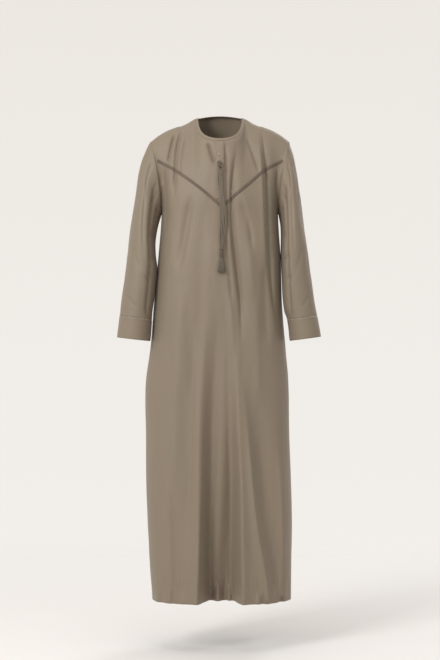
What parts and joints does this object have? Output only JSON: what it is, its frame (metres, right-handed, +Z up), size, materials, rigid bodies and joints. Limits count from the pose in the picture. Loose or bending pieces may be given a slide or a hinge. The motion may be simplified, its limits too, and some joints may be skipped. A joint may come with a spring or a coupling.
{
  "type": "thobe robe",
  "caption": "Collarless ankle-length robe as worn, with a placket, a V of braid over the chest, a long tassel, long sleeves with cuff bands and a plain folded hem.",
  "frame": {"origin": "middle of the wearer's neck, level with the two sides of the neckline", "axes": "+Z up the wearer, +X to the wearer's left, -Y to the wearer's front"},
  "size_m": [0.606, 0.3077, 1.4521],
  "materials": {
    "cloth": "fine satin-faced suiting, soft sheen",
    "braid": "narrow woven braid, matt",
    "tassel": "twisted rayon threads",
    "snap_metal": "satin nickel"
  },
  "bodies": {
    "root": {"front_panel": "cloth", "back_panel": "cloth", "neck_band": "cloth", "sleeve_right": "cloth", "cuff_right": "cloth", "sleeve_left": "cloth", "cuff_left": "cloth", "placket": "cloth", "trim_right": "braid", "trim_left": "braid", "snap": "snap_metal", "tassel_knot": "tassel", "tassel_cord": "tassel", "tassel_head": "tassel", "tassel_skirt": "tassel"}
  },
  "joints": []
}
